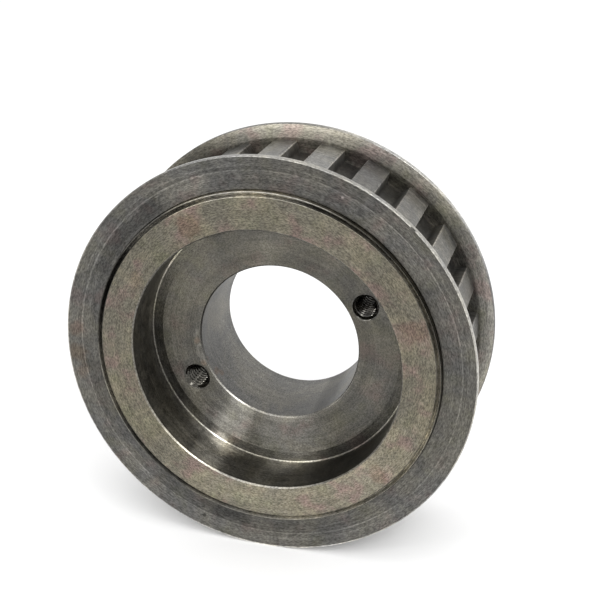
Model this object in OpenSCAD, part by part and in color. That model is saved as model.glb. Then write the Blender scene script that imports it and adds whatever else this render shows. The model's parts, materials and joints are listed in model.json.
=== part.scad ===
// Timing belt pulley, H section (12.7 mm pitch), 24 grooves for a 25.4 mm belt.
// Three pieces: a toothed body bored for a size H split taper bushing, and two
// flared sheet flanges pressed on its ends.
// The axle line is Y, the recess opens towards -Y and +Z is up. The origin is on
// the axle line, half way along the body. Millimetres.

/* [Teeth] */
// Number of belt grooves round the pulley
teeth = 24; // [14:1:48]
// Belt pitch along the pitch circle
pitch = 12.7; // [9.525:0.001:22.225]
// From the pitch circle in to the tooth tips
pitch_line_offset = 0.686; // [0.3:0.001:1.4]
// Depth of a groove below the tooth tips
groove_depth = 3.05; // [1.5:0.05:6]
// Width of a groove at its bottom
groove_bottom = 4.19; // [2:0.01:8]
// Lean of each groove flank from the groove's centre line
flank_angle = 20; // [15:1:30]
// Radius between flank and groove bottom
root_radius = 1; // [0.4:0.1:1.6]
// Radius between flank and tooth tip
tip_radius = 0.6; // [0.3:0.1:2]
// Length of the teeth, between the two flanges
face_width = 28.2; // [20:0.1:60]
// Direction of one tooth centre, from +X towards +Z
tooth_angle = 94; // [0:0.5:360]

/* [Rim] */
// Overall length of the body
body_width = 33.8; // [28:0.1:70]
// Radius of the turned shoulder that carries a flange
shoulder_r = 43.5; // [30:0.1:60]
// Inner radius of the groove rolled in each end to spread the shoulder under its flange
lock_groove_r = 42.2; // [30:0.1:60]
// Width of that groove at its mouth
lock_groove_width = 1.05; // [0.3:0.05:2]
// Depth of that groove
lock_groove_depth = 1.2; // [0.3:0.1:2]
// Radius of the recess in the front face
recess_r = 34; // [24:0.5:50]
// Depth of the recess from the front end of the body
recess_depth = 12.9; // [4:0.1:24]
// Chamfer round the mouth of the recess
recess_chamfer = 0.3; // [0.2:0.1:2]
// Radius within which the recess floor is flat and at its full height
floor_flat_r = 31.1; // [22:0.1:50]
// Depth that the floor is relieved to from there out to the recess wall
floor_relief = 0.15; // [0:0.05:1]
// Fillet between recess floor and wall
floor_fillet = 0.4; // [0.2:0.1:2]
// Radius of the shallow dished band round the bore's mouth
mouth_band_r = 22.3; // [21:0.1:40]
// Depth of that band where it meets the bore
mouth_band_depth = 0.15; // [0:0.05:1]

/* [Bushing seat] */
// Bore diameter at its large end, on the recess floor
bore_d = 41.275; // [20:0.005:60]
// Taper on diameter, per unit of length
bore_taper = 0.0625; // [0:0.0025:0.125]
// Chamfer at both ends of the bore
bore_chamfer = 0.3; // [0.1:0.1:1]
// Bolt circle of the bushing's cap screws
bolt_circle = 50.8; // [30:0.1:80]
// Number of tapped holes
bolts = 2; // [2:1:6]
// Tapping drill of the 1/4-20 holes
bolt_drill = 5.2; // [3:0.1:10]
// Countersink diameter at the mouth of a tapped hole
bolt_mouth = 6.8; // [4:0.1:14]
// Direction of the first tapped hole, from +X towards +Z
bolt_angle = 29; // [0:0.5:360]

/* [Flanges] */
// Sheet thickness
sheet = 1.6; // [1:0.1:4]
// Radius of the bend where the flare starts
bend_r = 48.2; // [40:0.1:70]
// Outer radius of the lip, turned to a short cylinder
lip_r = 51.8; // [44:0.1:80]
// How far the lip stands out from the flat of the sheet
lip_rise = 1.1; // [0.4:0.1:4]
// Rounding on the sheared edges of the sheet
edge_break = 0.2; // [0.1:0.05:0.5]

/* [Hidden] */
$fn = 144;
tip_r = teeth * pitch / (2 * PI) - pitch_line_offset;
root_r = tip_r - groove_depth;
half = body_width / 2;
seat = face_width / 2;
floor_z = half - recess_depth;
// How far a cutting solid runs past the surface it opens
over = 1;
// Facets round a tapped hole
hole_facets = 48;
// Share of the tip radius that lies past the tooth tips, so that the two meet at a clear angle
tip_runout = 0.05;
steel = [0.45, 0.44, 0.42];
flange_steel = [0.35, 0.35, 0.35];

// Turns a solid built round Z, front end up, onto the Y axle line.
module on_axle() rotate([90, 0, 0]) children();

// Points of an arc about c, both end points included.
function arc(c, r, a0, a1, n) =
    [for (i = [0:n]) c + r * [cos(a0 + (a1 - a0) * i / n), sin(a0 + (a1 - a0) * i / n)]];

// Right half of one groove, from the bottom corner out to past the tooth tips.
// x runs across the groove and y outwards from the axle line.
function groove_side() =
    let (
        s = [sin(flank_angle), cos(flank_angle)],
        n = [cos(flank_angle), -sin(flank_angle)],
        foot = [groove_bottom / 2, root_r],
        root_run = root_radius * tan((90 - flank_angle) / 2),
        root_c = [foot.x - root_run, root_r + root_radius],
        p = foot + tip_radius * n,
        reach = tip_r - (1 - tip_runout) * tip_radius,
        along = -(p * s) + sqrt(pow(p * s, 2) - p * p + reach * reach),
        tip_c = p + along * s,
        tip_end = atan2(tip_c.y, tip_c.x),
        out = (tip_r + over) * [cos(tip_end), sin(tip_end)]
    )
    concat(
        arc(root_c, root_radius, 270, 360 - flank_angle, 5),
        arc(tip_c, tip_radius, 180 - flank_angle, tip_end, 6),
        [out]
    );

// One belt groove, cut along the whole tooth length and open at both ends.
module groove() {
    side = groove_side();
    mirrored = [for (i = [len(side) - 1:-1:0]) [-side[i].x, side[i].y]];
    translate([0, 0, -seat - over])
        linear_extrude(height = face_width + 2 * over)
            polygon(concat(side, mirrored));
}

// One tapped hole with its 45 degree countersink, from the recess floor through to the back.
module tapped_hole() {
    sink = (bolt_mouth - bolt_drill) / 2;
    translate([0, 0, -half - over])
        cylinder(h = body_width + 2 * over, d = bolt_drill, $fn = hole_facets);
    translate([0, 0, floor_z - sink])
        cylinder(h = sink + over, d1 = bolt_drill, d2 = bolt_mouth + 2 * over, $fn = hole_facets);
}

// Half section of the body, x out from the axle line and y towards the front.
function body_section() =
    let (
        mouth_r = bore_d / 2,
        back_r = mouth_r - bore_taper / 2 * (floor_z + half),
        c = bore_chamfer,
        mouth_z = floor_z - mouth_band_depth,
        fillet = [recess_r - floor_fillet, floor_z - floor_relief + floor_fillet],
        lock = [
            [lock_groove_r, half],
            [lock_groove_r + lock_groove_width / 2, half - lock_groove_depth],
            [lock_groove_r + lock_groove_width, half],
            [shoulder_r, half],
            [shoulder_r, seat],
            [tip_r, seat]
        ]
    )
    concat(
        [[back_r + c, -half], [back_r + c * bore_taper / 2, -half + c]],
        [[mouth_r, mouth_z - c], [mouth_r + c, mouth_z]],
        [[mouth_band_r, floor_z], [floor_flat_r, floor_z]],
        arc(fillet, floor_fillet, 270, 360, 4),
        [[recess_r, half - recess_chamfer], [recess_r + recess_chamfer, half]],
        lock,
        [for (i = [len(lock) - 1:-1:0]) [lock[i].x, -lock[i].y]]
    );

// Hub, rim and teeth, turned and hobbed from one blank.
module toothed_body() {
    color(steel)
        on_axle()
            difference() {
                rotate_extrude() polygon(body_section());
                for (i = [0:teeth - 1])
                    rotate([0, 0, tooth_angle + (i + 0.5) * 360 / teeth - 90]) groove();
                for (i = [0:bolts - 1])
                    rotate([0, 0, bolt_angle + i * 360 / bolts])
                        translate([bolt_circle / 2, 0, 0]) tapped_hole();
            }
}

// Half section of the front flange sheet, from its bore out to the flared lip.
function flange_section() =
    let (
        e = edge_break,
        outer = seat + sheet,
        slope = lip_rise / (lip_r - bend_r),
        inner_bend = bend_r + sheet * tan(atan(slope) / 2),
        inner_lip = seat + (lip_r - inner_bend) * slope
    )
    [
        [shoulder_r, seat + e], [shoulder_r + e, seat], [inner_bend, seat],
        [lip_r - e, inner_lip - e * slope], [lip_r, inner_lip + e],
        [lip_r, outer + lip_rise - e], [lip_r - e, outer + lip_rise - e * slope],
        [bend_r, outer], [shoulder_r + e, outer], [shoulder_r, outer - e]
    ];

// Flange on the recess side.
module front_flange() {
    color(flange_steel)
        on_axle() rotate_extrude() polygon(flange_section());
}

// The same flange turned round, on the far side.
module rear_flange() {
    color(flange_steel)
        on_axle() mirror([0, 0, 1]) rotate_extrude() polygon(flange_section());
}

toothed_body();
front_flange();
rear_flange();
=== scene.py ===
"""Looks of a timing belt pulley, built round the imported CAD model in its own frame.

The axle line is Y, the recess opens towards -Y and +Z is up. Sections are lists of
(r, z) in millimetres, r out from the axle line and z towards the front, and every
mesh is made in metres. Angles round the axle line run from +X towards +Z.
"""

import json
import math
from collections import namedtuple

import bmesh
import bpy
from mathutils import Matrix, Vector


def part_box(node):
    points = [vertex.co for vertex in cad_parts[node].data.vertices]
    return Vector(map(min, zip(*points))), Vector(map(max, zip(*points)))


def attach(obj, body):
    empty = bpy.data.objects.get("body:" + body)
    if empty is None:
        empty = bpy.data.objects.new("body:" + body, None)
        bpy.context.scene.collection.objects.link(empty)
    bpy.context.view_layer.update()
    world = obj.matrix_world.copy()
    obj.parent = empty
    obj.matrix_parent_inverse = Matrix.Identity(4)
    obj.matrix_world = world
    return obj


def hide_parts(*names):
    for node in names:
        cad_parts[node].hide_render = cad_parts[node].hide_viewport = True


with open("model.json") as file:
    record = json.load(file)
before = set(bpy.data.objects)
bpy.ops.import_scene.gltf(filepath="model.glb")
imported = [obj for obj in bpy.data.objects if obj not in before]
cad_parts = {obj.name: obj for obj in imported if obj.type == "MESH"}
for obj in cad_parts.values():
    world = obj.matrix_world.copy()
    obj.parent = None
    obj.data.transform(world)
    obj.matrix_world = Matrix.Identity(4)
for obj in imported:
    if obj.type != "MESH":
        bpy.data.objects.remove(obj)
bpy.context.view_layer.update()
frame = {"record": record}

MM = 0.001
MOUNTS = {m["name"]: m["dims"] for m in frame["record"]["mounts"]}
BODY_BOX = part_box("toothed_body")
FLANGE_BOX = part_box("front_flange")

# Sizes in millimetres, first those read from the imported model.
HALF = BODY_BOX[1].y / MM
LIP_R = FLANGE_BOX[1].x / MM
LIP_Z = -FLANGE_BOX[0].y / MM
SEAT = -FLANGE_BOX[1].y / MM
TIP_R = MOUNTS["belt_rim"]["r_mm"]
BORE_R = MOUNTS["taper_bore"]["r_mm"]
SCREW_CIRCLE_R = MOUNTS["bushing_screws"]["pcd_mm"] / 2
THREAD_MINOR_R = MOUNTS["bushing_screws"]["hole_r_mm"]
SCREWS = MOUNTS["bushing_screws"]["count"]

# The same numbers as in the CAD source.
TEETH = 24
GROOVE_DEPTH = 3.05
GROOVE_BOTTOM = 4.19
FLANK_ANGLE = math.radians(20)
ROOT_RADIUS = 1.0
TIP_RADIUS = 0.6
TOOTH_ANGLE = math.radians(94)
SCREW_ANGLE = math.radians(29)
SHOULDER_R = 43.5
LOCK_R = 42.2
LOCK_WIDTH = 1.05
LOCK_DEPTH = 1.2
RECESS_R = 34.0
RECESS_DEPTH = 12.9
RECESS_CHAMFER = 0.3
FLOOR_FLAT_R = 31.1
FLOOR_RELIEF = 0.15
FLOOR_FILLET = 0.4
BORE_SLOPE = 0.0625 / 2
BORE_CHAMFER = 0.3
BAND_R = 22.3
BAND_DEPTH = 0.15
MOUTH_R = 3.4
SHEET = 1.6
BEND_R = 48.2

# Roundings too fine for the CAD: the body's edges, the sheet's edges and its bend.
EDGE = 0.12
LIP_EDGE = 0.22
BEND_RADIUS = 1.2
# A point this far outside each rounding keeps the flats flat in smooth shading.
GUARD = 0.05
# The most of a side's length that a rounding and its guard point may take.
LONGEST_RUN = 0.4
LONGEST_GUARD = 0.05

# The 1/4-20 thread. The flats of its crest and its root each take THREAD_CREST of the
# pitch, which leaves 60 degrees between its flanks.
THREAD_MAJOR_R = 3.175
THREAD_PITCH = 1.27
THREAD_CREST = 0.24
THREAD_FACETS = 48
LEVELS_IN_A_PITCH = 16
# How far below the floor the thread's levels start, and the depth of the rear countersink.
MOUTH_EDGE = 0.1
REAR_SINK = 0.1
# How far the thread's cutter runs past both ends of the hole.
OVER = 1
# The cutter above the floor, as (height over the floor, how much wider than the mouth).
MOUTH_FLARE = [(OVER, 0.8), (0.14, 0.8), (0.01, 0.2)]

# Steps in an arc of the groove, steps along a tooth's land and columns round a flange.
ARC_STEPS = 6
LAND_STEPS = 4
FLANGE_COLUMNS = 960
# Faces that meet at more than this are shaded with a sharp edge.
SHARP_ANGLE = math.radians(32)

ROOT_R = TIP_R - GROOVE_DEPTH
FLOOR_Z = HALF - RECESS_DEPTH
FLAT_Z = SEAT + SHEET


# ---------------------------------------------------------------- sections


def arc(centre, radius, start, end):
    """Points of an arc, both ends included, with angles in radians."""
    turns = [start + (end - start) * i / ARC_STEPS for i in range(ARC_STEPS + 1)]
    return [Vector((centre[0] + radius * math.cos(t), centre[1] + radius * math.sin(t))) for t in turns]


def soften(corners, worn_and_lit, steps=4):
    """A closed section with its corners rounded. It runs clockwise, r to the right and z up.

    Each corner is (r, z, radius, finish), where finish names the surface that leaves
    it. The last argument gives the finish of a corner that sticks out, by the finish of
    the surface before it; those finishes carry wear and painted highlights.
    """
    section = []
    for i, (r, z, radius, finish) in enumerate(corners):
        if radius == 0:
            section.append((r, z, finish))
            continue
        before, after = corners[i - 1], corners[(i + 1) % len(corners)]
        here = Vector((r, z))
        back = Vector(before[:2]) - here
        ahead = Vector(after[:2]) - here
        shorter = min(back.length, ahead.length)
        run = min(radius * math.tan((math.pi - back.angle(ahead)) / 2), LONGEST_RUN * shorter)
        guard = min(GUARD, LONGEST_GUARD * shorter)
        start = here + back.normalized() * run
        end = here + ahead.normalized() * run
        sticks_out = back.x * ahead.y - back.y * ahead.x > 0
        rounding = worn_and_lit.get(before[3], before[3]) if sticks_out else before[3]
        section.append((*(start + back.normalized() * guard), before[3]))
        for k in range(steps):
            t = k / steps
            point = start * (1 - t) ** 2 + here * 2 * t * (1 - t) + end * t * t
            section.append((*point, rounding))
        section.append((*end, finish))
        section.append((*(end + ahead.normalized() * guard), finish))
    return section


def body_section():
    """Closed half section of the toothed body, from the rear end of its bore."""
    c = BORE_CHAMFER
    mouth_z = FLOOR_Z - BAND_DEPTH
    back_r = BORE_R - BORE_SLOPE * (FLOOR_Z + HALF)
    lock_middle = LOCK_R + LOCK_WIDTH / 2
    hub = [
        (back_r + c, -HALF, EDGE, "edge"),
        (back_r, -HALF + c, EDGE, "bore"),
        (BORE_R, mouth_z - c, EDGE, "edge"),
        (BORE_R + c, mouth_z, EDGE, "face"),
        (BAND_R, FLOOR_Z, EDGE, "face"),
        (FLOOR_FLAT_R, FLOOR_Z, EDGE, "relief"),
        (RECESS_R, FLOOR_Z - FLOOR_RELIEF, FLOOR_FILLET, "wall"),
        (RECESS_R, HALF - RECESS_CHAMFER, EDGE, "mouth"),
        (RECESS_R + RECESS_CHAMFER, HALF, EDGE, "rim"),
    ]
    front_end = [
        (LOCK_R, HALF, EDGE, "crevice"),
        (lock_middle, HALF - LOCK_DEPTH, EDGE, "crevice"),
        (LOCK_R + LOCK_WIDTH, HALF, EDGE / 2, "land"),
        (SHOULDER_R, HALF, EDGE, "shoulder"),
        (SHOULDER_R, SEAT, 0, "shoulder"),
        (TIP_R, SEAT, 0, "teeth"),
    ]
    rear_end = [
        (TIP_R, -SEAT, 0, "shoulder"),
        (SHOULDER_R, -SEAT, 0, "shoulder"),
        (SHOULDER_R, -HALF, EDGE, "rear_face"),
        (LOCK_R + LOCK_WIDTH, -HALF, EDGE / 2, "rear_crevice"),
        (lock_middle, LOCK_DEPTH - HALF, EDGE, "rear_crevice"),
        (LOCK_R, -HALF, EDGE, "rear_face"),
    ]
    # Corners that stick out take these finishes, worn and carrying painted highlights.
    worn_and_lit = {"rear_face": "edge", "bore": "edge", "wall": "mouth", "rim": "rim_edge"}
    return soften(hub + front_end + rear_end, worn_and_lit)


def flange_section():
    """Closed half section of the front flange, from the inner end of its bore."""
    slope = (LIP_Z - FLAT_Z) / (LIP_R - BEND_R)
    inner_bend = BEND_R + SHEET * math.tan(math.atan(slope) / 2)
    inner_lip = SEAT + (LIP_R - inner_bend) * slope
    corners = [
        (SHOULDER_R, SEAT, EDGE, "inner_edge"),
        (SHOULDER_R, FLAT_Z, LIP_EDGE, "sheet"),
        (BEND_R, FLAT_Z, BEND_RADIUS, "sheet"),
        (LIP_R, LIP_Z, LIP_EDGE, "lip"),
        (LIP_R, inner_lip, LIP_EDGE, "belt_side"),
        (inner_bend, SEAT, BEND_RADIUS, "belt_side"),
    ]
    return soften(corners, {"sheet": "worn_edge", "lip": "worn_edge"}, steps=6)


def groove_side():
    """Right half of one belt groove, x across it and y outwards, from its middle to a tooth tip."""
    lean = Vector((math.sin(FLANK_ANGLE), math.cos(FLANK_ANGLE)))
    across = Vector((math.cos(FLANK_ANGLE), -math.sin(FLANK_ANGLE)))
    foot = Vector((GROOVE_BOTTOM / 2, ROOT_R))
    root_run = ROOT_RADIUS * math.tan((math.pi / 2 - FLANK_ANGLE) / 2)
    root_centre = Vector((foot.x - root_run, ROOT_R + ROOT_RADIUS))
    start = foot + TIP_RADIUS * across
    reach = TIP_R - TIP_RADIUS
    along = -start.dot(lean) + math.sqrt(start.dot(lean) ** 2 - start.dot(start) + reach**2)
    tip_centre = start + along * lean
    root = arc(root_centre, ROOT_RADIUS, -math.pi / 2, -FLANK_ANGLE)
    tip = arc(tip_centre, TIP_RADIUS, math.pi - FLANK_ANGLE, math.atan2(tip_centre.y, tip_centre.x))
    return [
        Vector((0, ROOT_R)),
        root[0] - Vector((GUARD, 0)),
        *root,
        root[-1] + GUARD * lean,
        tip[0] - GUARD * lean,
        *tip,
    ]


def tooth_outline():
    """(angle, radius) once round the toothed rim, in rising order of angle."""
    side = [(math.atan2(p.x, p.y), p.length) for p in groove_side()]
    pitch = 2 * math.pi / TEETH
    start = side[-1][0] + GUARD / TIP_R
    land = [start + (pitch - 2 * start) * k / LAND_STEPS for k in range(LAND_STEPS + 1)]
    groove = [(-a, r) for a, r in reversed(side[1:])] + side
    one = groove + [(a, TIP_R) for a in land]
    first = TOOTH_ANGLE + pitch / 2
    return [(first + i * pitch + a, r) for i in range(TEETH) for a, r in one]


def even_outline(columns):
    """Equal steps once round a plain piece."""
    return [(2 * math.pi * i / columns, TIP_R) for i in range(columns)]


# ---------------------------------------------------------------- meshes


def mesh_object(name, verts, faces, materials, slots=None):
    """A piece from its vertices in millimetres along (x, y, z) and its faces."""
    mesh = bpy.data.meshes.new(name)
    mesh.from_pydata([Vector(v) * MM for v in verts], [], faces)
    for material in materials:
        mesh.materials.append(material)
    if slots:
        mesh.polygons.foreach_set("material_index", slots)
    shade(mesh)
    piece = bpy.data.objects.new(name, mesh)
    bpy.context.scene.collection.objects.link(piece)
    return piece


def shade(mesh):
    """Turns every face outwards and shades the mesh smooth between its sharp edges."""
    bm = bmesh.new()
    bm.from_mesh(mesh)
    bmesh.ops.recalc_face_normals(bm, faces=bm.faces)
    bm.to_mesh(mesh)
    bm.free()
    mesh.shade_smooth()
    mesh.set_sharp_from_angle(angle=SHARP_ANGLE)


def turned(name, section, outline, finishes, front=1):
    """Sweeps a closed section round the axle line.

    outline holds (angle, radius) pairs, and points of the section at TIP_R take that
    radius. front is -1 for a piece turned round to face the rear.
    """
    names = list(finishes)
    verts, faces, slots = [], [], []
    for angle, tip in outline:
        for r, z, _ in section:
            out = tip if r == TIP_R else r
            verts.append((out * math.cos(angle), -front * z, out * math.sin(angle)))
    rows, columns = len(section), len(outline)
    for j in range(columns):
        here, after = j * rows, (j + 1) % columns * rows
        for i in range(rows):
            k = (i + 1) % rows
            faces.append((here + i, here + k, after + k, after + i))
            slots.append(names.index(section[i][2]))
    return mesh_object(name, verts, faces, [finishes[n] for n in names], slots)


def thread_radius(z, turn):
    """Radius of a tapped hole below the recess floor, at height z and that part of a turn round it."""
    phase = abs((z / THREAD_PITCH + turn) % 1 - 0.5) * 2
    share = min(max((phase - THREAD_CREST) / (1 - 2 * THREAD_CREST), 0), 1)
    thread = THREAD_MINOR_R + (THREAD_MAJOR_R - THREAD_MINOR_R) * share
    front_sink = MOUTH_R + z - FLOOR_Z
    rear_sink = THREAD_MAJOR_R + REAR_SINK - HALF - z
    return max(thread, front_sink, rear_sink)


def screw_thread(angle, materials, slot):
    """The solid that a tapped hole takes out of the body, with its thread and flared mouth."""
    turns = [j / THREAD_FACETS for j in range(THREAD_FACETS)]
    rings = [(FLOOR_Z + rise, [MOUTH_R + wider] * THREAD_FACETS) for rise, wider in MOUTH_FLARE]
    step = THREAD_PITCH / LEVELS_IN_A_PITCH
    for i in range(int((FLOOR_Z + HALF + OVER) / step) + 1):
        z = FLOOR_Z - MOUTH_EDGE - i * step
        rings.append((z, [thread_radius(z, turn) for turn in turns]))
    centre_x, centre_z = SCREW_CIRCLE_R * math.cos(angle), SCREW_CIRCLE_R * math.sin(angle)
    verts = []
    for z, radii in rings:
        for turn, r in zip(turns, radii):
            t = 2 * math.pi * turn
            verts.append((centre_x + r * math.cos(t), -z, centre_z + r * math.sin(t)))
    faces = [tuple(range(THREAD_FACETS)), tuple(range(len(verts) - THREAD_FACETS, len(verts)))]
    for i in range(len(rings) - 1):
        for j in range(THREAD_FACETS):
            a = i * THREAD_FACETS + j
            b = i * THREAD_FACETS + (j + 1) % THREAD_FACETS
            faces.append((a, b, b + THREAD_FACETS, a + THREAD_FACETS))
    return mesh_object("thread_cutter", verts, faces, materials, [slot] * len(faces))


def cut_out(piece, cutters):
    """Takes the cutters out of the piece, for good."""
    for cutter in cutters:
        modifier = piece.modifiers.new("hole", "BOOLEAN")
        modifier.operation = "DIFFERENCE"
        modifier.solver = "MANIFOLD"
        modifier.object = cutter
    shape = piece.evaluated_get(bpy.context.evaluated_depsgraph_get())
    mesh = bpy.data.meshes.new_from_object(shape)
    piece.modifiers.clear()
    piece.data = mesh
    shade(mesh)
    for cutter in cutters:
        bpy.data.objects.remove(cutter)


# ---------------------------------------------------------------- materials

# Noises, as (features per millimetre, detail, roughness, distortion). The first three
# run in rings, along the cutter's marks.
FINE_MARKS = (7.0, 3.0, 0.6)
BROAD_MARKS = (1.6, 2.0, 0.5)
GRAIN = (4.0, 2.0, 0.7)
CLOUDS = (0.09, 4.0, 0.6, 0.6)
PATCHES = (0.4, 5.0, 0.65)
SCRATCHES = (1.3, 2.0)
OIL = (0.16, 3.0)
# Features round the axle line, per unit of cosine: few in a long mark and many in a short one.
LONG_MARKS = 0.7
SHORT_MARKS = 14.0
# Scratches run up and across a face, and the oil lies somewhere else than the clouds.
SCRATCH_STRETCH = (0.3, 0.3, 3.0)
OIL_OFFSET = (40.0, 40.0, 40.0)
# How far to each side of its middle a noise is followed: narrow for clouds and patches.
NARROW = 0.15
WIDE = 0.2
# Where in its noise a scratch or a tint of the oil begins, and where it is at its full.
SCRATCHED = (0.62, 0.72)
PINK_PART = (0.52, 0.72)
GREEN_PART = (0.48, 0.28)
# How much the cutter's marks change the brightness, how much warmer the steel is where
# the clouds are thick, and how much patches and broad marks change the roughness.
FINE_GAIN = 0.1
BROAD_GAIN = 0.12
CLOUD_WARMTH = 0.06
PATCH_ROUGHNESS = 0.05
BROAD_ROUGHNESS = 0.03
# Height of the marks and the grain in millimetres.
MARK_HEIGHT = 0.0015
GRAIN_HEIGHT = 0.003
# A quarter turn, which draws the highlights out across the cutter's marks.
ACROSS_THE_MARKS = 0.25
# A spot's full middle and how far its edge frays, as parts of its size.
SPOT_CORE = 0.4
SPOT_FRAY = 1.5
# A smear's full middle, as parts of its reach and its half width, and how far its edges
# fray, in millimetres along r and in cosine round the axle line.
SMEAR_CORE = 0.6
SMEAR_CORE_TURN = 0.8
SMEAR_FRAY = 4.0
SMEAR_FRAY_TURN = 0.03
# How much red rises and blue falls as a grey grows warmer.
RED_RISE = 0.5
BLUE_FALL = 1.25
# Red, green and blue of the oil film's two tints and of rust, against the steel under them.
PINK = (1.3, 0.88, 0.82)
GREEN = (1.02, 1.0, 0.66)
RUST = (1.1, 0.72, 0.5)

Place = namedtuple("Place", "point radius along cosine sine")


class Shader:
    """One material being built. Inputs may be node sockets or plain values."""

    def __init__(self, name):
        self.material = bpy.data.materials.new(name)
        self.material.use_nodes = True
        self.tree = self.material.node_tree
        self.tree.nodes.clear()

    def add(self, kind, inputs, output=0, **settings):
        """Adds a node and gives one of its outputs."""
        node = self.tree.nodes.new("ShaderNode" + kind)
        for key, value in settings.items():
            setattr(node, key, value)
        for key, value in inputs.items():
            if isinstance(value, bpy.types.NodeSocket):
                self.tree.links.new(value, node.inputs[key])
            else:
                node.inputs[key].default_value = value
        return node.outputs[output]

    def show(self, surface):
        """Makes surface what the material shows, and gives the material."""
        output = self.tree.nodes.new("ShaderNodeOutputMaterial")
        self.tree.links.new(surface, output.inputs["Surface"])
        return self.material

    def math(self, operation, a, b=0.0):
        """One arithmetic step on a and b."""
        return self.add("Math", {0: a, 1: b}, operation=operation)

    def spread(self, value, low, high, to_low=0.0, to_high=1.0):
        """Value from low to high taken smoothly to to_low to to_high, and held beyond them."""
        inputs = {"Value": value, "From Min": low, "From Max": high, "To Min": to_low, "To Max": to_high}
        return self.add("MapRange", inputs, interpolation_type="SMOOTHSTEP")

    def swing(self, noise, span, amount, middle=1.0):
        """Middle give or take amount, as the noise runs over span to each side of a half."""
        return self.spread(noise, 0.5 - span, 0.5 + span, middle - amount, middle + amount)

    def noise(self, vector, scale, detail, roughness=0.5, distortion=0.0):
        """Noise about a half, the same on every run."""
        inputs = {
            "Vector": vector,
            "Scale": scale,
            "Detail": detail,
            "Roughness": roughness,
            "Distortion": distortion,
        }
        return self.add("TexNoise", inputs)

    def blend(self, factor, a, b, mode="MIX"):
        """Colours a and b mixed by factor. The Mix node's sockets go by number, as its types share names."""
        return self.add("Mix", {0: factor, 6: a, 7: b}, output=2, data_type="RGBA", blend_type=mode)

    def combine(self, x, y, z):
        """A vector, or a colour, from its three parts."""
        return self.add("CombineXYZ", {0: x, 1: y, 2: z})


def place(s):
    """Where a point is: itself in millimetres, its radius, its y and its turn's cosine and sine."""
    raw = s.add("TexCoord", {}, output="Object")
    point = s.add("VectorMath", {"Vector": raw, "Scale": 1 / MM}, operation="SCALE")
    parts = s.tree.nodes.new("ShaderNodeSeparateXYZ")
    s.tree.links.new(point, parts.inputs[0])
    x, y, z = parts.outputs
    radius = s.math("SQRT", s.math("ADD", s.math("MULTIPLY", x, x), s.math("MULTIPLY", z, z)))
    return Place(point, radius, y, s.math("DIVIDE", x, radius), s.math("DIVIDE", z, radius))


def in_rings(s, where, across, stretch):
    """A vector whose noise runs in rings: across the marks as it is, and round them by stretch."""
    along_x = s.math("MULTIPLY", where.cosine, stretch)
    along_z = s.math("MULTIPLY", where.sine, stretch)
    return s.combine(across, along_x, along_z)


def grey(level, warmth):
    """A colour of that brightness, yellower as warmth rises."""
    return (level * (1 + RED_RISE * warmth), level, level * (1 - BLUE_FALL * warmth), 1.0)


def tinted(level, tint):
    """A colour of that brightness with a tint's red, green and blue."""
    return (*(level * share for share in tint), 1.0)


def facing(s, where, angle):
    """Cosine of the turn round the axle line from that angle."""
    turn = math.radians(angle)
    from_x = s.math("MULTIPLY", where.cosine, math.cos(turn))
    from_z = s.math("MULTIPLY", where.sine, math.sin(turn))
    return s.math("ADD", from_x, from_z)


def frayed(s, value, ragged, amount):
    """The value moved up or down by up to half of amount, as ragged goes from 0 to 1."""
    return s.math("ADD", value, s.math("MULTIPLY", s.math("SUBTRACT", ragged, 0.5), amount))


def peak(s, position, middle, half_width, gain):
    """Gain where position is at the middle, and 1 from half_width away."""
    gap = s.math("ABSOLUTE", s.math("SUBTRACT", position, middle))
    return s.spread(gap, 0.0, half_width, gain, 1.0)


def spot(s, where, ragged, mark):
    """1 in the middle of a mark, (angle, r, z, size), and 0 outside it, with an edge that ragged frays."""
    angle, r, z, size = mark
    turn = math.radians(angle)
    centre = (r * math.cos(turn), -z, r * math.sin(turn))
    gap = s.add("VectorMath", {0: where.point, 1: centre}, output="Value", operation="DISTANCE")
    return s.spread(frayed(s, gap, ragged, SPOT_FRAY * size), SPOT_CORE * size, size, 1.0, 0.0)


def smeared(s, where, ragged, smear):
    """1 on a smear, (angle, half width, r, reach), and 0 outside it, with edges that ragged frays."""
    angle, width, r, reach = smear
    gap = s.math("ABSOLUTE", s.math("SUBTRACT", frayed(s, where.radius, ragged, SMEAR_FRAY), r))
    near = s.spread(gap, SMEAR_CORE * reach, reach, 1.0, 0.0)
    turned_to = frayed(s, facing(s, where, angle), ragged, SMEAR_FRAY_TURN)
    edge = math.cos(math.radians(width))
    core = math.cos(math.radians(SMEAR_CORE_TURN * width))
    return s.math("MULTIPLY", near, s.spread(turned_to, edge, core))


def painted(s, where, ragged, rings, bands, sectors, smears, stains_and_highlights):
    """The gains of the marks that steel() lists, one value for each mark."""
    gains = [peak(s, where.radius, r, width, gain) for r, width, gain in rings]
    gains += [peak(s, where.along, -z, width, gain) for z, width, gain in bands]
    for angle, width, gain in sectors:
        gains.append(s.spread(facing(s, where, angle), math.cos(math.radians(width)), 1.0, 1.0, gain))
    for *smear, gain in smears:
        gains.append(s.spread(smeared(s, where, ragged, smear), 0.0, 1.0, 1.0, gain))
    for *mark, gain in stains_and_highlights:
        gains.append(s.spread(spot(s, where, ragged, mark), 0.0, 1.0, 1.0, gain))
    return gains


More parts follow.
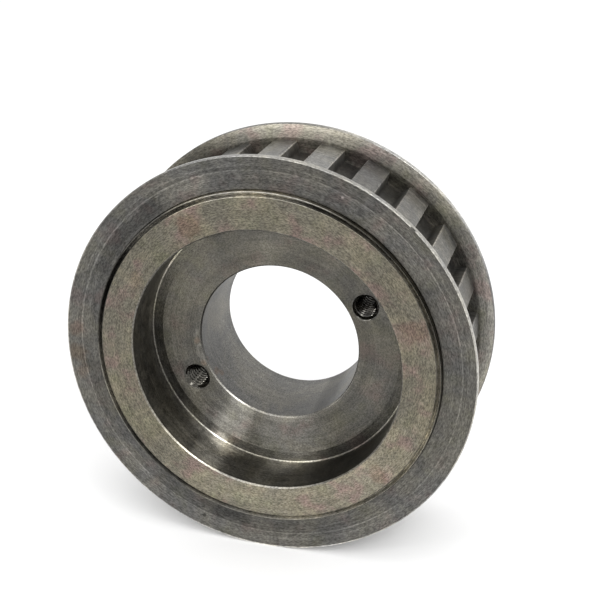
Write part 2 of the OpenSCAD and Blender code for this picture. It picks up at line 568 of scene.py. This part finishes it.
def steel(name, level, warmth, roughness, marks="radius", anisotropy=0.5, mottle=0.12, grit=0.4, metal=1.0,
          tint=0.0, rings=(), bands=(), sectors=(), smears=(), stains_and_highlights=(), rust=()):
    """Worked steel with cutter marks that run round the axle line.

    marks is the direction across the cutter's marks, "radius" on a face and "along" on
    a cylinder. mottle and grit are how uneven the clouds and the grain are, and tint is
    how much pink and green the oil film shows. The rest are lists of lighter and darker
    places, real marks and painted highlights and shade among them, in millimetres and
    degrees, each with the gain at its middle: rings (r, half width, gain), bands (z, half
    width, gain), sectors (angle, half width, gain), smears (angle, half width, r, reach,
    gain), spots (angle, r, z, size, gain), which are stains and painted highlights, and
    rust (angle, r, z, size, strength).
    """
    s = Shader(name)
    where = place(s)
    across = where.radius if marks == "radius" else where.along
    fine = s.noise(in_rings(s, where, across, LONG_MARKS), *FINE_MARKS)
    broad = s.noise(in_rings(s, where, across, LONG_MARKS), *BROAD_MARKS)
    grain = s.noise(in_rings(s, where, across, SHORT_MARKS), *GRAIN)
    cloud = s.noise(where.point, *CLOUDS)
    patch = s.noise(where.point, *PATCHES)
    drawn_out = s.add("VectorMath", {0: where.point, 1: SCRATCH_STRETCH}, operation="MULTIPLY")
    scratch = s.noise(drawn_out, *SCRATCHES)
    elsewhere = s.add("VectorMath", {0: where.point, 1: OIL_OFFSET}, operation="ADD")
    oil = s.noise(elsewhere, *OIL)

    gains = [
        s.swing(cloud, NARROW, mottle),
        s.swing(patch, NARROW, mottle),
        s.swing(fine, WIDE, FINE_GAIN),
        s.swing(broad, WIDE, BROAD_GAIN),
        s.swing(grain, WIDE, grit),
        s.spread(scratch, *SCRATCHED, 1.0, 1.0 + mottle),
    ]
    gains += painted(s, where, patch, rings, bands, sectors, smears, stains_and_highlights)
    tone = gains[0]
    for gain in gains[1:]:
        tone = s.math("MULTIPLY", tone, gain)

    thick = s.swing(cloud, NARROW, 0.5, middle=0.5)
    base = s.blend(thick, grey(level, warmth), grey(level, warmth + CLOUD_WARMTH))
    base = s.blend(s.spread(oil, *PINK_PART, 0.0, tint), base, tinted(level, PINK))
    base = s.blend(s.spread(oil, *GREEN_PART, 0.0, tint), base, tinted(level, GREEN))
    for *mark, strength in rust:
        base = s.blend(s.math("MULTIPLY", spot(s, where, patch, mark), strength), base, tinted(level, RUST))
    colour = s.blend(1.0, base, s.combine(tone, tone, tone), mode="MULTIPLY")

    rough = s.math("ADD", roughness, s.swing(patch, WIDE, PATCH_ROUGHNESS, middle=0.0))
    rough = s.math("ADD", rough, s.swing(broad, WIDE, BROAD_ROUGHNESS, middle=0.0))
    height = s.math("ADD", s.math("MULTIPLY", fine, MARK_HEIGHT), s.math("MULTIPLY", grain, GRAIN_HEIGHT))
    inputs = {
        "Base Color": colour,
        "Metallic": metal,
        "Roughness": rough,
        "Anisotropic": anisotropy,
        "Anisotropic Rotation": ACROSS_THE_MARKS,
        "Tangent": s.add("Tangent", {}, direction_type="RADIAL", axis="Y"),
        "Normal": s.add("Bump", {"Height": height, "Distance": MM}),
    }
    return s.show(s.add("BsdfPrincipled", inputs))


# ---------------------------------------------------------------- finishes of the body


def bored_steel():
    """The tapered bore, lighter towards its rear end and a little rusted at the lower left."""
    return steel(
        "bored_steel", 0.15, 0.03, 0.42, marks="along", anisotropy=0.7,
        bands=[(-13, 9, 1.22)],
        sectors=[(304, 12, 0.62)],
        rust=[(212, BORE_R, 2, 1.6, 0.4), (216, BORE_R, 0.5, 1.2, 0.4), (200, BORE_R, 3.4, 1.2, 0.3)],
    )


def faced_steel():
    """The recess floor, turned flat, with painted highlights fanning across it at the lower left and the
    bottom, painted shade towards the upper right, a lighter band at the left of the bore's mouth and a
    little rust at the left.
    """
    return steel(
        "faced_steel", 0.12, 0.08, 0.38, anisotropy=0.96, grit=0.35, tint=0.3,
        rings=[(23.0, 2.6, 0.86), (29.0, 3.0, 1.06)],
        sectors=[(243, 12, 2.2), (228, 6, 1.1), (279, 26, 1.65), (35, 60, 0.85), (76, 20, 0.8),
                 (145, 25, 1.15), (325, 35, 1.14)],
        smears=[(190, 14, 22.1, 0.8, 1.45)],
        rust=[(185, 22.0, FLOOR_Z, 1.2, 0.4), (202, 21.8, FLOOR_Z, 1.4, 0.4)],
    )


def relieved_steel():
    """The slightly lower band of the floor, out to the wall, with a painted highlight along the wall's foot,
    painted highlights at the lower left and the bottom, and painted shade at the left and the lower right.
    """
    return steel(
        "relieved_steel", 0.1, 0.08, 0.38, anisotropy=0.96, tint=0.3,
        rings=[(33.85, 0.3, 3.5)],
        sectors=[(241, 7, 2.2), (278, 13, 2.0), (195, 38, 0.42), (308, 22, 0.62), (138, 18, 1.8),
                 (335, 20, 1.15)],
        stains_and_highlights=[(241, 33.8, FLOOR_Z, 2.6, 2.0)],
    )


def wall_steel():
    """The recess wall, painted lighter near the floor, with painted highlights streaking up it beside the
    floor's and painted shade at the left and the lower right.
    """
    return steel(
        "wall_steel", 0.075, 0.1, 0.38, marks="along", anisotropy=0.96,
        bands=[(FLOOR_Z, 4.5, 1.6)],
        sectors=[(241, 9, 2.0), (226, 8, 1.4), (269, 8, 1.35), (308, 28, 0.42), (192, 18, 0.8)],
        stains_and_highlights=[(246, RECESS_R, FLOOR_Z + 1, 6, 2.6), (231, RECESS_R, FLOOR_Z + 1, 4, 1.4),
                (273, RECESS_R, FLOOR_Z + 1, 7, 2.3), (246, RECESS_R, HALF - 2, 5, 1.5)],
    )


def chamfered_mouth():
    """The chamfer round the recess's mouth, with a painted highlight along the bottom."""
    return steel("chamfered_mouth", 0.16, 0.08, 0.35, anisotropy=0.6, sectors=[(250, 52, 2.6)])


def oiled_steel():
    """The front end of the rim, under a tan oil film with rust in four places, with painted light towards
    the bottom and painted shade at the upper right.
    """
    return steel(
        "oiled_steel", 0.135, 0.16, 0.5, anisotropy=0.7, grit=0.45, tint=0.6, metal=0.9,
        sectors=[(288, 70, 1.5), (312, 16, 1.15), (60, 50, 0.85)],
        rust=[(118, 38, HALF, 4, 0.5), (20, 39, HALF, 4, 0.35), (318, 39, HALF, 3, 0.4),
              (150, 37, HALF, 3, 0.3)],
    )


def rim_edge():
    """The edge between the rim and the groove rolled in it, with a painted highlight at the top."""
    return steel("rim_edge", 0.12, 0.12, 0.4, anisotropy=0.6, sectors=[(97, 34, 4.0)])


def faced_rear():
    """The rear end of the body."""
    return steel("faced_rear", 0.15, 0.1, 0.42, anisotropy=0.85, mottle=0.1, grit=0.3, tint=0.3)


def dirty_rear_steel():
    """The groove rolled in the rear end, darker than the face beside it."""
    return steel("dirty_rear_steel", 0.08, 0.1, 0.5, marks="along", anisotropy=0.0)


def dirty_steel():
    """The groove rolled in the front end, dark, with painted light at the top, the lower right and in a few
    places at the left, and a darker patch at the upper left.
    """
    return steel(
        "dirty_steel", 0.1, 0.08, 0.5, marks="along", anisotropy=0.0,
        sectors=[(96, 24, 3.9), (132, 14, 2.0), (305, 75, 3.0), (282, 16, 1.3), (340, 16, 1.4),
                 (195, 22, 1.7), (157, 16, 0.4), (25, 34, 1.8)],
    )


def dirty_land():
    """The narrow land between that groove and the flange, with painted light at the top, the bottom and the
    lower left, and painted shade at the upper right.
    """
    return steel(
        "dirty_land", 0.05, 0.08, 0.5, anisotropy=0.0,
        sectors=[(94, 34, 8.0), (270, 50, 2.5), (203, 28, 3.5), (25, 36, 0.12)],
    )


def shoulder_steel():
    """The shoulders under the flanges and the ends of the teeth, dark, with a painted highlight at the top.
    """
    return steel("shoulder_steel", 0.06, 0.15, 0.5, marks="along", anisotropy=0.0, sectors=[(94, 34, 7.0)])


def hobbed_steel():
    """The teeth, with painted highlights along the edges of their lands, painted shade in the grooves, and
    some lands lighter or darker than others.
    """
    return steel(
        "hobbed_steel", 0.21, 0.03, 0.45, marks="along", anisotropy=0.0,
        rings=[(TIP_R - 0.2, 0.2, 2.2), (ROOT_R, 2.6, 0.45)],
        sectors=[(79, 6, 1.45), (64, 6, 0.82), (94, 6, 1.2), (19, 6, 0.8), (109, 6, 0.8)],
    )


def bare_edge():
    """The bore's chamfers and the outer edges, worn to bare metal, with painted highlights at the lower left
    and the lower right and painted shade at the left.
    """
    return steel(
        "bare_edge", 0.16, 0.06, 0.3, anisotropy=0.6,
        sectors=[(246, 50, 2.4), (160, 48, 0.25), (322, 20, 2.2)],
    )


def threaded_steel():
    """The tapped holes, dark, the upper right one painted a little brighter as a painted highlight on its
    threads.
    """
    return steel(
        "threaded_steel", 0.06, 0.05, 0.1, marks="along", anisotropy=0.0,
        sectors=[(29, 20, 1.3)],
    )


# ---------------------------------------------------------------- finishes of the flanges


def pressed_sheet():
    """The outer side of a flange, with fine rubbed rings, dark smears and a little rust at the left, a
    painted highlight along the bend, painted light on the flare and in places round the turn, and painted
    shade at the top.
    """
    return steel(
        "pressed_sheet", 0.092, 0.04, 0.42, anisotropy=0.6, mottle=0.13, tint=0.3,
        rings=[(BEND_R, 0.3, 1.6), (50.2, 2.0, 1.14), (46.4, 0.15, 1.15), (49.4, 0.15, 1.25)],
        sectors=[(310, 30, 1.2), (80, 35, 0.82), (105, 16, 1.2), (224, 10, 1.15)],
        smears=[(139, 18, 45.9, 2.0, 0.68), (196, 11, 45.6, 2.4, 0.82), (256, 9, 45.5, 2.2, 0.75),
                (95, 10, 45.8, 1.2, 0.85), (20, 16, 45.0, 1.4, 0.85), (222, 7, 50.4, 1.0, 0.85)],
        stains_and_highlights=[(66.5, 47.3, FLAT_Z, 0.5, 2.4), (250, 49.2, FLAT_Z, 0.8, 0.4)],
        rust=[(176, 49.6, FLAT_Z, 3.0, 0.3), (184, 49.6, FLAT_Z, 3.4, 0.35), (190, 49.4, FLAT_Z, 2.6, 0.3)],
    )


def oiled_sheet():
    """The side of a flange that the belt runs against, with painted light towards its outer edge, at the top
    and at the right, and painted shade next to the teeth and in places at the upper left and upper right.
    """
    return steel(
        "oiled_sheet", 0.14, 0.08, 0.42, anisotropy=0.6, tint=0.4,
        rings=[(51.6, 2.0, 1.7), (47.0, 3.2, 0.5)],
        sectors=[(130, 18, 0.55), (116, 10, 0.8), (90, 18, 1.35), (0, 30, 1.2), (54, 14, 0.75)],
    )


def dirty_sheet():
    """The bore of a flange, next to the shoulder, dark."""
    return steel("dirty_sheet", 0.05, 0.08, 0.5, marks="along", anisotropy=0.0)


def sheared_edge():
    """The front flange's sheared outer edge, with a painted highlight at the right."""
    return steel("sheared_edge", 0.36, 0.03, 0.4, marks="along", sectors=[(10, 45, 1.3)])


def worn_edge():
    """The roundings beside the front flange's sheared edge, worn, with painted highlights at the bottom and
    the right and painted shade at the upper left.
    """
    return steel(
        "worn_edge", 0.32, 0.03, 0.35,
        sectors=[(132, 40, 0.58), (20, 40, 1.2), (278, 35, 2.0)],
        stains_and_highlights=[(47, LIP_R, LIP_Z, 0.9, 0.25)],
    )


def sheared_rear_edge():
    """The rear flange's sheared outer edge, with a painted highlight at its upper right and painted shade at
    the right and the upper left.
    """
    return steel(
        "sheared_rear_edge", 0.16, 0.03, 0.4, marks="along",
        sectors=[(52, 38, 3.4), (-8, 32, 0.34), (125, 30, 0.4)],
    )


def worn_rear_edge():
    """The roundings beside the rear flange's sheared edge, worn, with a painted highlight at the upper
    right.
    """
    return steel("worn_rear_edge", 0.2, 0.03, 0.35, sectors=[(52, 38, 2.0)])


# ---------------------------------------------------------------- pieces


def toothed_body():
    """The body, with each surface of its section in its own finish and the threads cut out."""
    finishes = {
        "bore": bored_steel(),
        "face": faced_steel(),
        "relief": relieved_steel(),
        "wall": wall_steel(),
        "mouth": chamfered_mouth(),
        "rim": oiled_steel(),
        "rim_edge": rim_edge(),
        "rear_face": faced_rear(),
        "rear_crevice": dirty_rear_steel(),
        "crevice": dirty_steel(),
        "land": dirty_land(),
        "shoulder": shoulder_steel(),
        "teeth": hobbed_steel(),
        "edge": bare_edge(),
        "thread": threaded_steel(),
    }
    piece = turned("toothed_body_looks", body_section(), tooth_outline(), finishes)
    slot = list(finishes).index("thread")
    materials = list(finishes.values())
    turns = [SCREW_ANGLE + 2 * math.pi * i / SCREWS for i in range(SCREWS)]
    cut_out(piece, [screw_thread(turn, materials, slot) for turn in turns])
    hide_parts("toothed_body")
    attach(piece, "root")


def flange(name, node, finishes, front):
    """A flange, with front 1 for the front one and -1 for the same turned round."""
    piece = turned(name, flange_section(), even_outline(FLANGE_COLUMNS), finishes, front)
    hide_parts(node)
    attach(piece, "root")


def flanges():
    """Both flanges. They share their sides, but each has its own outer edge."""
    sides = {"sheet": pressed_sheet(), "belt_side": oiled_sheet(), "inner_edge": dirty_sheet()}
    front = {**sides, "lip": sheared_edge(), "worn_edge": worn_edge()}
    rear = {**sides, "lip": sheared_rear_edge(), "worn_edge": worn_rear_edge()}
    flange("front_flange_looks", "front_flange", front, 1)
    flange("rear_flange_looks", "rear_flange", rear, -1)


# ---------------------------------------------------------------- studio

# The floor's paper: features per metre and detail of its noise, and how pale it is.
PAPER_GRAIN = (30.0, 3.0)
PAPER_TONE = 0.97
# Metres and degrees, but for the floor's reach, which is in millimetres like every mesh.
FLOOR_REACH = 3000
LIGHT_SIZE = 0.24
LIGHT_DISTANCE = 0.7
CAMERA_DISTANCE = 0.26686
CAMERA_TARGET = (0.008786, -0.0168, 0.018388)
CAMERA_AZIMUTH = 15.84
CAMERA_ELEVATION = 22.30


def towards(azimuth, elevation):
    """The direction out from the pulley. Azimuth runs from -Y towards +X, in degrees."""
    turn, rise = math.radians(azimuth), math.radians(elevation)
    return Vector((math.sin(turn) * math.cos(rise), -math.cos(turn) * math.cos(rise), math.sin(rise)))


def add_to_scene(name, data, direction, distance, target=(0, 0, 0)):
    """A lamp or camera at that distance from the target, turned to it."""
    thing = bpy.data.objects.new(name, data)
    thing.location = Vector(target) + direction * distance
    thing.rotation_mode = "QUATERNION"
    thing.rotation_quaternion = direction.to_track_quat("Z", "Y")
    bpy.context.scene.collection.objects.link(thing)
    return thing


def studio_floor():
    """A wide pale floor just under the pulley."""
    s = Shader("pale_floor")
    raw = s.add("TexCoord", {}, output="Object")
    tone = s.swing(s.noise(raw, *PAPER_GRAIN), WIDE, 0.01, middle=PAPER_TONE)
    colour = s.combine(tone, tone, tone)
    inputs = {"Base Color": colour, "Roughness": 0.9, "Specular IOR Level": 0.1}
    paper = s.show(s.add("BsdfPrincipled", inputs))
    level = FLANGE_BOX[0].z / MM
    corners = [(x * FLOOR_REACH, y * FLOOR_REACH, level) for x, y in ((-1, -1), (1, -1), (1, 1), (-1, 1))]
    piece = mesh_object("studio_floor", corners, [(0, 1, 2, 3)], [paper])


def softbox(name, azimuth, elevation, power, size=LIGHT_SIZE):
    """A square area light of that size in metres, turned to the pulley."""
    light = bpy.data.lights.new(name, "AREA")
    light.shape = "SQUARE"
    light.size = size
    light.energy = power
    add_to_scene(name, light, towards(azimuth, elevation), LIGHT_DISTANCE)


def sky(level):
    """Even light from all round."""
    world = bpy.data.worlds.new("studio")
    world.use_nodes = True
    world.node_tree.nodes["Background"].inputs["Color"].default_value = (level, level, level, 1.0)
    bpy.context.scene.world = world


def photo_camera():
    """The camera, from the photo's side: to the right of the axle line and above it."""
    data = bpy.data.cameras.new("photo_camera")
    data.sensor_width = 36
    data.lens = 68.95
    data.clip_start = 0.01
    data.clip_end = 20
    direction = towards(CAMERA_AZIMUTH, CAMERA_ELEVATION)
    camera = add_to_scene("photo_camera", data, direction, CAMERA_DISTANCE, CAMERA_TARGET)
    bpy.context.scene.camera = camera


toothed_body()
flanges()

studio_floor()
sky(1.08)
softbox("front_left", azimuth=-15, elevation=20, power=0.5)
softbox("upper_left", azimuth=-35, elevation=31, power=0.3, size=0.07)
softbox("low_front", azimuth=0, elevation=8, power=0.3)
softbox("right", azimuth=30, elevation=35, power=0.85)
softbox("upper_right", azimuth=45, elevation=48, power=0.85)
photo_camera()
bpy.context.scene.view_settings.view_transform = "Standard"
